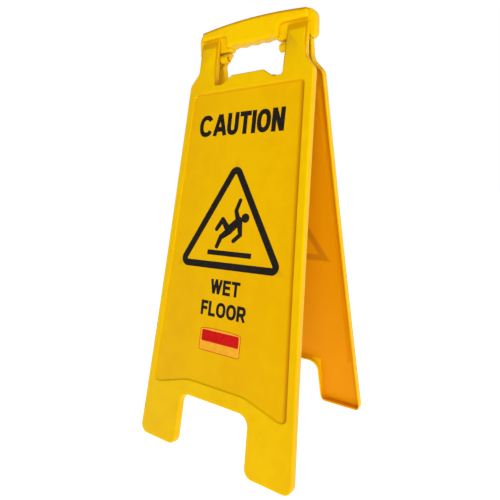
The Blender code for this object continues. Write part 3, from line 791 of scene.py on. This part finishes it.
def strokes_of(letter, wide, weight):
    """The centre lines of a capital, drawn 1 high and as wide as asked, for strokes of this weight."""
    h = weight / 2
    left, right, low, high = h, wide - h, h, 1 - h
    middle = wide / 2
    if letter == "C":
        return [arc(middle + 0.5j, middle - h, 0.5 - h, 33, 327, 33)]
    if letter == "O":
        return [arc(middle + 0.5j, middle - h, 0.5 - h, 0, 360, 41)]
    if letter == "A":
        return [
            np.array([left * 0.55, middle - h * 0.12 + 1j * (1 - h * 0.05)]),
            np.array([wide - left * 0.55, middle + h * 0.12 + 1j * (1 - h * 0.05)]),
            np.array([middle * 0.42 + 0.30j, wide - middle * 0.42 + 0.30j]),
        ]
    if letter == "U":
        bowl = arc(middle + 1j * (0.34), middle - h, 0.34 - h, 180, 360, 19)
        return [np.concatenate([[left + 1j], bowl, [right + 1j]])]
    if letter == "T":
        return [np.array([0, wide]) + 1j * high, np.array([middle, middle + 1j])]
    if letter == "I":
        return [np.array([middle, middle + 1j])]
    if letter == "N":
        return [
            np.array([left, left + 1j]),
            np.array([right, right + 1j]),
            np.array([left + 1j, right + 0j]) + np.array([0.02, -0.02]),
        ]
    if letter == "W":
        quarter_wide = (wide - weight) / 4
        return [
            np.array([h * 0.9 + 1j, h + quarter_wide + 0j]),
            np.array([h + quarter_wide + 0j, middle + 1j]),
            np.array([middle + 1j, wide - h - quarter_wide + 0j]),
            np.array([wide - h - quarter_wide + 0j, wide - h * 0.9 + 1j]),
        ]
    bars = {"E": [(low, 1.0), (0.52, 0.94), (high, 1.0)], "F": [(0.50, 0.92), (high, 1.0)], "L": [(low, 1.0)]}
    if letter in bars:
        return [np.array([left, left + 1j])] + [
            np.array([left, wide * reach]) + 1j * level for level, reach in bars[letter]
        ]
    if letter == "R":
        waist = 0.45
        bowl = arc(wide * 0.50 + 1j * (waist + high) / 2, wide * 0.5 - h, (high - waist) / 2, 90, -90, 17)
        return [
            np.array([left, left + 1j]),
            np.concatenate([[left + 1j * high], bowl, [left + 1j * waist]]),
            np.array([wide * 0.52 + 1j * waist, wide - h * 0.8 + 0j]),
        ]
    raise ValueError(f"no strokes are drawn for {letter}")


LETTER_WIDTHS = {
    "A": 0.70, "C": 0.80, "E": 0.55, "F": 0.53, "I": 0.20, "L": 0.52,
    "N": 0.62, "O": 0.70, "R": 0.62, "T": 0.60, "U": 0.62, "W": 0.86,
}
LETTER_WEIGHT = 0.215
LETTER_SPACING = 0.055


def lettering(panel, word, left, right, top, bottom, base):
    """A word fitted between its four edges. Each stroke is a mitred band, and each one is a few
    microns thinner than the last, so that no two share a face."""
    size = sizes()
    height = (top - bottom) * MM
    widths = np.array([LETTER_WIDTHS[letter] for letter in word])
    natural = widths.sum() + LETTER_SPACING * (len(word) - 1)
    stretch = (right - left) * MM / height / natural
    starts = np.concatenate([[0], np.cumsum(widths + LETTER_SPACING)[:-1]]) * stretch
    parts = []
    for letter, start, wide in zip(word, starts, widths * stretch):
        corner = left * MM + 1j * bottom * MM + start * height
        for number, path in enumerate(strokes_of(letter, wide, LETTER_WEIGHT)):
            closed = letter == "O"
            path = path[:-1] if closed else path
            edges = [edge * height + corner for edge in band(path, LETTER_WEIGHT, closed)]
            first, second = (edge.real + 1j * np.clip(edge.imag, bottom * MM, top * MM) for edge in edges)
            high = base + size.ink - number * LETTER_STEP
            parts += stroke_plate(panel, first, second, base, high, closed)
    return parts


def stroke_plate(panel, first, second, low, high, closed):
    """A stroke's solid: a four-sided section carried along its two edges, with ends unless closed."""
    section = [(second, low), (first, low), (first, high), (second, high)]
    rows = [panel.leaned(edge.real, edge.imag, np.full(len(edge), depth)) for edge, depth in section]
    grid = np.array(rows).transpose(1, 0, 2)
    count = len(grid)
    if closed:
        return [(np.concatenate([grid, grid[:1]]), strips(count + 1, 4))]
    ends = np.array([[3, 2, 1, 0], [4 * count - 4, 4 * count - 3, 4 * count - 2, 4 * count - 1]])
    return [(grid, np.concatenate([strips(count, 4), ends]))]


def limb(start, end, radius_a, radius_b, steps=14):
    """The outline of a tapered limb with round ends: two half circles of its own two radii."""
    a, b = complex(*start) * MM, complex(*end) * MM
    along = unit(b - a)
    turn = np.linspace(-math.pi / 2, math.pi / 2, steps)
    far = b + along * radius_b * MM * np.exp(1j * turn)
    near = a - along * radius_a * MM * np.exp(1j * turn)
    return np.concatenate([far, near])


# Each limb's two ends and its radius at each; the head's middle and radius.
FIGURE = [
    ((11.6, -221.6), (6.0, -237.0), 3.2, 3.4),
    ((6.0, -237.0), (11.2, -250.6), 3.4, 4.6),
    ((12.6, -251.2), (-4.0, -266.2), 6.0, 6.6),
    ((13.4, -252.4), (17.2, -271.6), 5.4, 3.5),
    ((17.2, -271.6), (6.0, -281.4), 3.5, 3.2),
    ((-5.6, -265.0), (-16.8, -250.8), 5.2, 4.0),
    ((-16.8, -250.8), (-26.8, -265.4), 3.9, 3.3),
    ((-4.4, -267.6), (-17.4, -276.8), 5.6, 4.1),
    ((-17.4, -276.8), (-23.6, -291.4), 4.1, 3.4),
]
HEAD = (23.4, -247.0, 6.9)


def pictogram(panel, base):
    """The warning triangle as a closed band, the wet floor as a bar, and a slipping figure of
    plain tapered limbs and a head, each a few microns thinner than the last."""
    size = sizes()
    corners = corners_of([(x * MM, y * MM, TRIANGLE_CORNER * MM) for x, y in TRIANGLE])
    outer = rounded(corners, 16)
    inner = rounded(moved_in(corners, TRIANGLE_STROKE * MM), 16)
    parts = stroke_plate(panel, inner, outer, base, base + size.ink, True)
    bar = mirrored(corners_of([(BAR_HALF * MM, y * MM, 0.5 * MM) for y in (BAR_LOW, BAR_HIGH)]))
    parts += plate(panel, rounded(bar, 3), base, base + size.ink)
    shapes = [limb(*one) for one in FIGURE]
    turn = np.linspace(0, 2 * math.pi, 41)[:-1]
    shapes.append(complex(*HEAD[:2]) * MM + HEAD[2] * MM * np.exp(1j * turn))
    for number, shape in enumerate(shapes):
        parts += plate(panel, shape, base, base + size.ink - number * FIGURE_STEP)
    return parts


def print_on(panel, side, body):
    """The words and the pictogram of one panel, as three thin pieces of ink."""
    ink = material_once("screen_ink", printed_ink, colours().ink)
    base = panel.face - sizes().recess + 0.01 * MM
    build(f"{side}_caution_words", lettering(panel, *CAUTION, base), ink, body)
    build(f"{side}_slip_pictogram", pictogram(panel, base), ink, body)
    words = lettering(panel, *WET, base) + lettering(panel, *FLOOR, base)
    build(f"{side}_wet_floor_words", words, ink, body)


# ---------------------------------------------------------------- badge


def badge_outline(grow=0.0):
    """A rounded rectangle with a slightly arched top."""
    top, height, half = -412.4, 36.0, 37.5
    rows = [(half, top - height, 4.0), (half, top - 2.6, 4.0), (half * 0.5, top - 0.65, 40.0)]
    corners = mirrored(corners_of([(x * MM, y * MM, radius * MM) for x, y, radius in rows]))
    return rounded(moved_in(corners, grow), 10)


def badge_parts(panel, base):
    """(edge, field, ground) of the label: an outline band, a plain block across its upper part,
    and the paler film that both stand on."""
    high = base + 0.10 * MM
    edge = stroke_plate(panel, badge_outline(1.1 * MM), badge_outline(), base, high, True)
    rows = [(34.0, -434.0, 2.5), (34.0, -417.0, 2.5)]
    block = mirrored(corners_of([(x * MM, y * MM, radius * MM) for x, y, radius in rows]))
    field = plate(panel, rounded(block, 10), base, high)
    return edge, field, plate(panel, badge_outline(0.6 * MM), base, base + 0.04 * MM)


# ---------------------------------------------------------------- handle


# Each screw's place across and its rise above the hinge axis.
SCREWS = {
    "left_outer": (-76.85, 21.0), "left_inner": (-28.0, 28.5),
    "right_inner": (28.0, 28.5), "right_outer": (76.85, 21.0),
}
SCREW_HEAD, SCREW_SHANK, SCREW_HEAD_HEIGHT = 3.2 * MM, 1.6 * MM, 1.8 * MM
# A screw's seat in the handle: how much wider than the head each ring is, and how far it is sunk.
SEAT_PROFILE = [(0.75, 0.0), (0.5, 0.15), (0.35, 0.5), (0.3, 2.0), (-0.2, 2.1)]


def top_edge(across):
    """The handle's top: a shallow arch, crown * (1 - (across / half) squared) above its ends."""
    return HINGE + HANDLE["end_top"] + HANDLE["crown"] * (1 - (across / HANDLE["half"]) ** 2)


def fingers():
    """The grip's underside from left to right: depth * sin squared, once for each finger."""
    reach = HANDLE["finger_pitch"] * HANDLE["fingers"] / 2
    across = np.linspace(-reach, reach, 65)
    hollow = HANDLE["finger_depth"] * np.sin(math.pi * across / HANDLE["finger_pitch"]) ** 2
    return np.stack([across, HINGE + HANDLE["grip_bottom"] + hollow, np.zeros(len(across))], 1)


def crown_edge(end, lower, count=21):
    """The arched top from right to left, lowered by a little."""
    across = np.linspace(end, -end, count)
    return np.stack([across, top_edge(across) - lower, np.zeros(count)], 1)


def rear_shell_outline(inset):
    """The back half's outline: the finger grip, the seats on the arms, the ears and the arched top.
    The step down to each ear fades out over the first 3 mm that the outline is moved in."""
    half, bottom = HANDLE["half"], HINGE + HANDLE["bottom"]
    step = HANDLE["bottom"] - HANDLE["ear_bottom"]
    low = bottom - step * max(1 - inset / (3 * MM), 0.01)
    inner, outer = Panel.gusset_inner + 1 * MM, HANDLE["ear_inner"] - inset
    ends = [
        (inner, bottom, 2 * MM), (outer, bottom, 0), (outer, low, 0),
        (half, low, HANDLE["ear_corner"]), (half, top_edge(half), HANDLE["top_corner"]),
    ]
    far = [(-x, y, radius) for x, y, radius in reversed(ends)]
    crown = crown_edge(half - HANDLE["top_corner"] - 3 * MM, 0.0)
    return np.concatenate([fingers(), corners_of(ends), crown, corners_of(far)])


def front_shell_outline(_inset):
    """The front half's outline: the finger grip, and a lip over the heads of the front arms."""
    grip, lip = HINGE + HANDLE["grip_bottom"], HINGE + HANDLE["lip_bottom"]
    lowered = 0.4 * MM
    top = top_edge(HANDLE["lip_half"]) - lowered
    right = [
        (HANDLE["grip_half"], grip, 3.5 * MM), (HANDLE["grip_half"], lip, 6 * MM),
        (HANDLE["lip_half"], lip - 0.5 * MM, 3.5 * MM), (HANDLE["lip_half"], top, 4 * MM),
    ]
    left = [(-x, y, radius) for x, y, radius in reversed(right)]
    return np.concatenate([
        fingers(), corners_of(right), crown_edge(HANDLE["lip_half"] - 8 * MM, lowered), corners_of(left),
    ])


def shell(outline, front, back, front_round, back_round, seats=()):
    """A slab with its outline's rings carried round both edges: out from the front flat by a
    quarter round, along the side, and in again to the back flat. Screw seats sink into the back."""
    front_in, front_down = quarter(front_round, 7)
    back_in, back_down = quarter(back_round, 7)
    rings = [(front_round + 0.5 * MM, front)]
    rings += [(a, front + b) for a, b in zip(front_in[::-1], front_down[::-1])]
    rings += [(a, back - b) for a, b in zip(back_in, back_down)]
    rings += [(back_round + 0.5 * MM, back)]
    loops = [(rounded(moved_in(outline(a), a)), y) for a, y in rings]
    grid = np.array([np.stack([z.real, np.full(len(z), y), z.imag], -1) for z, y in loops])
    parts = [(grid, strips(len(loops), grid.shape[1]))]
    parts.append((grid[0], filled([loops[0][0]])))
    turn = np.exp(1j * np.linspace(0, 2 * math.pi, 33)[:-1])
    edge = loops[-1][0]
    circles, depths = [], [np.full(len(edge), back)]
    for x, rise in seats:
        center = x * MM + 1j * (HINGE + rise * MM)
        for wider, sunk in SEAT_PROFILE:
            circles.append(center + (SCREW_HEAD + wider * MM) * turn)
            depths.append(np.full(len(turn), back - sunk * MM))
    every = np.concatenate([edge, *circles]) if circles else edge
    points = np.stack([every.real, np.concatenate(depths), every.imag], -1)
    parts.append((points, filled([edge, *circles])))
    return parts


def screw(x, rise, tip):
    """A pan-headed screw along Y. The head is a dome whose height falls with the radius
    squared, pressed in by a cross where either arm's distance is small."""
    rings, spokes = 14, 64
    radius = SCREW_HEAD * np.linspace(0, 1, rings)[:, None]
    turn = np.linspace(0, 2 * math.pi, spokes, endpoint=False)[None, :]
    u, v = radius * np.cos(turn), radius * np.sin(turn)
    dome = 0.5 * MM * (radius / SCREW_HEAD) ** 2
    arm = np.minimum(np.abs(u), np.abs(v))
    cross = np.clip((0.48 * MM - arm) / (0.14 * MM), 0, 1) * np.clip((1.9 * MM - radius) / (0.5 * MM), 0, 1)
    top = HANDLE["back"] - 0.2 * MM
    head = np.stack([u, top - dome - 0.75 * MM * cross + 0 * u, v], -1)
    seat = HANDLE["back"] - SCREW_HEAD_HEIGHT
    profile = np.array([
        (SCREW_HEAD, seat + 0.2 * MM), (SCREW_HEAD - 0.2 * MM, seat), (SCREW_SHANK, seat),
        (SCREW_SHANK, tip + 1 * MM), (SCREW_SHANK * 0.4, tip), (0.0, tip),
    ])
    shank = np.stack([
        profile[:, :1] * np.cos(turn), profile[:, 1:] + 0 * turn, profile[:, :1] * np.sin(turn)
    ], -1)
    points = np.concatenate([head, shank]) + (x * MM, 0.0, HINGE + rise * MM)
    return [(points, strips(len(points), spokes))]


def at_hinge(part, side):
    """A part turned about X, mirrored to its side and set on the hinge axis."""
    points, faces = part
    return points * (side, 1, 1) + (0, 0, HINGE), faces


PIN_RADIUS, PIN_HEAD, PIN_START, PIN_SEAT, PIN_TIP = 3.0 * MM, 3.9 * MM, 53.0 * MM, 57.5 * MM, 89.5 * MM
PIN_DOME = 1.3 * MM
CLIP_RADIUS, CLIP_NEAR, CLIP_FAR = 5.8 * MM, 88.4 * MM, 89.6 * MM


def pin_profile():
    """A pin from its domed head to its chamfered tip."""
    turn = np.linspace(0, math.pi / 2, 7)
    dome = [(PIN_HEAD * math.sin(a), PIN_START + PIN_DOME * (1 - math.cos(a))) for a in turn]
    return dome + [
        (PIN_HEAD, PIN_SEAT - 0.2 * MM), (PIN_HEAD - 0.2 * MM, PIN_SEAT), (PIN_RADIUS, PIN_SEAT),
        (PIN_RADIUS, PIN_TIP - 0.8 * MM), (PIN_RADIUS * 0.75, PIN_TIP), (0.0, PIN_TIP),
    ]


def clip_profile():
    """A push-on clip: a flat ring, thinner round its bore."""
    near, far, outer, eased_by, thinned = CLIP_NEAR, CLIP_FAR, CLIP_RADIUS, 0.2 * MM, 0.35 * MM
    return [
        (LUG_BORE, near), (outer - eased_by, near), (outer, near + eased_by), (outer, far - eased_by),
        (outer - eased_by, far), (4.6 * MM, far), (3.9 * MM, far - thinned), (LUG_BORE, far - thinned),
        (LUG_BORE, near),
    ]


# ---------------------------------------------------------------- operators


class FLOORSIGN_OT_front_panel(bpy.types.Operator):
    """Makes the front moulding with its hinge lugs."""

    bl_idname = "floorsign.front_panel"
    bl_label = "Front Panel"

    def execute(self, context):
        panel = Panel(1)
        parts = moulding(panel) + lugs(panel, FRONT_LUGS)
        surface = material_once("yellow_moulding_front", moulded_plastic, shades_of_panel(panel))
        build("front_moulding", parts, surface, "front_frame", ["front_panel"])
        return {"FINISHED"}


def pin_boss(panel, side):
    """A round boss bored for the pin and its head, on a short web down to the gusset's skin."""
    outer, inner, bore, head = 5.9 * MM, 46.5 * MM, LUG_BORE, 4.2 * MM
    far, seat, eased_by = 59.4 * MM, 57.8 * MM, 0.4 * MM
    profile = [
        (head, inner + eased_by), (head + eased_by, inner),
        (outer - eased_by, inner), (outer, inner + eased_by),
        (outer, far - eased_by), (outer - eased_by, far), (bore, far), (bore, seat), (head, seat),
        (head, inner + eased_by),
    ]
    near, far = sorted((side * 51.0 * MM, side * far))
    half = 1.3 * MM
    web = [near - 1j * half, far - 1j * half, far + 1j * half, near + 1j * half]
    return [at_hinge(turned(profile), side)] + plate(panel, web, outer - 1.2 * MM, panel.face - 1.0 * MM)


class FLOORSIGN_OT_rear_panel(bpy.types.Operator):
    """Makes the rear moulding with its hinge lugs."""

    bl_idname = "floorsign.rear_panel"
    bl_label = "Rear Panel"

    def execute(self, context):
        panel = Panel(-1)
        parts = moulding(panel) + lugs(panel, REAR_LUGS)
        parts += pin_boss(panel, -1) + pin_boss(panel, 1)
        surface = material_once("yellow_moulding_rear", moulded_plastic, shades_of_panel(panel))
        build("rear_moulding", parts, surface, "rear_frame", ["rear_panel"])
        return {"FINISHED"}


class FLOORSIGN_OT_handle(bpy.types.Operator):
    """Makes the two shells of the handle."""

    bl_idname = "floorsign.handle"
    bl_label = "Handle"

    def execute(self, context):
        surface = material_once("yellow_moulding_handle", moulded_plastic, shades_of_handle)
        rear = shell(rear_shell_outline, HANDLE["front"], HANDLE["back"], 1.2 * MM, 4.5 * MM, SCREWS.values())
        build("handle_back_half", rear, surface, "rear_frame", ["handle_rear_shell"])
        seam = HANDLE["front"] - Panel.gap
        front = shell(front_shell_outline, HANDLE["grip_front"], seam, 4.4 * MM, 0.3 * MM)
        build("handle_front_half", front, surface, "rear_frame", ["handle_front_shell"])
        return {"FINISHED"}


class FLOORSIGN_OT_screws(bpy.types.Operator):
    """Makes the handle's four screws."""

    bl_idname = "floorsign.screws"
    bl_label = "Handle Screws"

    def execute(self, context):
        surface = material_once("zinc_plate", turned_metal, tuple(colours().zinc), 0.30)
        for label, (x, rise) in SCREWS.items():
            tip = HANDLE["front"] - 4 * MM if "inner" in label else 2.2 * MM
            build(f"screw_{label}", screw(x, rise, tip), surface, "rear_frame",
                  [f"handle_screw_{label}"])
        return {"FINISHED"}


class FLOORSIGN_OT_hinge(bpy.types.Operator):
    """Makes the hinge pins and their push-on clips."""

    bl_idname = "floorsign.hinge"
    bl_label = "Hinge Pins"

    def execute(self, context):
        dark = material_once("dark_pin_steel", turned_metal, tuple(colours().pin), 0.34)
        zinc = material_once("zinc_plate", turned_metal, tuple(colours().zinc), 0.30)
        for side, label in ((-1, "left"), (1, "right")):
            pin, clip = at_hinge(turned(pin_profile()), side), at_hinge(turned(clip_profile()), side)
            build(f"headed_pin_{label}", [pin], dark, "rear_frame", [f"hinge_pin_{label}"])
            build(f"push_clip_{label}", [clip], zinc, "rear_frame", [f"pin_clip_{label}"])
        return {"FINISHED"}


class FLOORSIGN_OT_badges(bpy.types.Operator):
    """Makes the plain label on each panel."""

    bl_idname = "floorsign.badges"
    bl_label = "Badges"

    def execute(self, context):
        red = material_once("badge_red_film", printed_ink, tuple(colours().badge), 0.30)
        edge = material_once("badge_edge_film", printed_ink, tuple(colours().badge_edge), 0.34)
        pale = material_once("badge_ground_film", printed_ink, tuple(colours().badge_ground), 0.34)
        for side, facing, body in (("front", 1, "front_frame"), ("rear", -1, "rear_frame")):
            panel = Panel(facing)
            outline, field, ground = badge_parts(panel, panel.face - sizes().recess + 0.01 * MM)
            build(f"{side}_badge_field", field, red, body, [f"{side}_badge"])
            build(f"{side}_badge_outline", outline, edge, body)
            build(f"{side}_badge_ground", ground, pale, body)
        return {"FINISHED"}


class FLOORSIGN_OT_print(bpy.types.Operator):
    """Prints the words and the pictogram on each panel."""

    bl_idname = "floorsign.print"
    bl_label = "Print"

    def execute(self, context):
        print_on(Panel(1), "front", "front_frame")
        print_on(Panel(-1), "rear", "rear_frame")
        return {"FINISHED"}


class FLOORSIGN_OT_stage(bpy.types.Operator):
    """Sets the pale floor, the soft light and the camera."""

    bl_idname = "floorsign.stage"
    bl_label = "Stage"

    def execute(self, context):
        self.floor()
        self.sky(context.scene)
        self.light("key_softbox", (1.3, -2.1, 0.75), (0.0, 0.0, 0.3), 1.3, 30.0)
        self.light("side_softbox", (2.2, -0.2, 0.7), (0.0, 0.0, 0.3), 1.3, 9.0)
        self.camera(context.scene)
        context.scene.view_settings.view_transform = "Standard"
        return {"FINISHED"}

    def floor(self):
        """A wide floor that is flat under the sign, with a faint mottle and a lit look."""
        surface, shader, place = new_material("pale_floor")
        tone = tuple(colours().floor)
        cloud = grain(place, 3.0, 2.0)
        feed(
            shader,
            Base_Color=cloud.ramp(0.3, 0.7).mix(tone, tuple(channel * 0.985 for channel in tone)),
            Roughness=0.75 + cloud * 0.1,
            Specular_IOR_Level=0.1,
            Emission_Color=(1.0, 1.0, 1.0),
            Emission_Strength=0.80,
        )
        reach, count = 14.0, 15
        u, v = np.meshgrid(np.linspace(-reach, reach, count), np.linspace(-reach, reach, count))
        points = np.stack([u, v, np.full_like(u, -0.0002)], -1)
        mesh = bpy.data.meshes.new("studio_floor")
        mesh.from_pydata(points.reshape(-1, 3).tolist(), [], strips(count, count, around=False).tolist())
        mesh.materials.append(surface)
        floor = bpy.data.objects.new("studio_floor", mesh)
        bpy.context.scene.collection.objects.link(floor)

    def sky(self, scene):
        """A white backdrop beyond the sign, greyer walls on the other sides and a dim ceiling."""
        world = bpy.data.worlds.new("soft_studio")
        world.use_nodes = True
        scene.world = world
        background = world.node_tree.nodes["Background"]
        place = Wire(world.node_tree.nodes.new("ShaderNodeTexCoord").outputs["Generated"])
        x, y, height = place.parts()
        right = x.ramp(-0.3, 0.5)
        backdrop = (x * -math.sin(VIEW) + y * math.cos(VIEW)).ramp(0.30, 0.72)
        ceiling = height.ramp(0.42, 0.80)
        strength = (0.32 + right * 0.20 + backdrop * (0.68 - right * 0.20)) * (1.0 - ceiling * 0.85)
        world.node_tree.links.new(strength.socket, background.inputs["Strength"])
        background.inputs["Color"].default_value = (1.0, 1.0, 1.0, 1.0)

    def light(self, name, place, target, width, power):
        lamp = bpy.data.lights.new(name, "AREA")
        lamp.energy, lamp.size = power, width
        obj = bpy.data.objects.new(name, lamp)
        obj.location = place
        obj.rotation_euler = (Vector(target) - Vector(place)).to_track_quat("-Z", "Y").to_euler()
        bpy.context.scene.collection.objects.link(obj)

    def camera(self, scene):
        """A camera on the right of the front panel, looking a little down at the sign."""
        pitch, roll = math.radians(9.14), math.radians(-0.42)
        lens = bpy.data.cameras.new("camera")
        lens.sensor_width, lens.lens = 36.0, 30.5
        obj = bpy.data.objects.new("camera", lens)
        turn = Matrix.Rotation(VIEW, 4, "Z") @ Matrix.Rotation(math.pi / 2 - pitch, 4, "X")
        place = Matrix.Translation((0.3706, -0.5595, 0.4016))
        obj.matrix_world = place @ turn @ Matrix.Rotation(roll, 4, "Z")
        scene.collection.objects.link(obj)
        scene.camera = obj


class FLOORSIGN_PT_panel(bpy.types.Panel):
    """Lists the sign's makers in the sidebar."""

    bl_idname = "FLOORSIGN_PT_panel"
    bl_label = "Floor Sign"
    bl_space_type = "VIEW_3D"
    bl_region_type = "UI"
    bl_category = "Floor Sign"

    def draw(self, context):
        for maker in MAKERS:
            self.layout.operator(maker.bl_idname)
        for group in (context.scene.floor_sign_sizes, context.scene.floor_sign_colours):
            box = self.layout.box()
            for name in group.__annotations__:
                box.prop(group, name)


MAKERS = (
    FLOORSIGN_OT_front_panel,
    FLOORSIGN_OT_rear_panel,
    FLOORSIGN_OT_handle,
    FLOORSIGN_OT_screws,
    FLOORSIGN_OT_hinge,
    FLOORSIGN_OT_badges,
    FLOORSIGN_OT_print,
    FLOORSIGN_OT_stage,
)
CLASSES = (FloorSignSizes, FloorSignColours, *MAKERS, FLOORSIGN_PT_panel)


def register():
    for one in CLASSES:
        bpy.utils.register_class(one)
    bpy.types.Scene.floor_sign_sizes = bpy.props.PointerProperty(type=FloorSignSizes)
    bpy.types.Scene.floor_sign_colours = bpy.props.PointerProperty(type=FloorSignColours)


def unregister():
    del bpy.types.Scene.floor_sign_colours
    del bpy.types.Scene.floor_sign_sizes
    for one in reversed(CLASSES):
        bpy.utils.unregister_class(one)


def main():
    register()
    for maker in MAKERS:
        group, name = maker.bl_idname.split(".")
        getattr(getattr(bpy.ops, group), name)()
    bpy.context.view_layer.update()


if __name__ == "__main__":
    main()
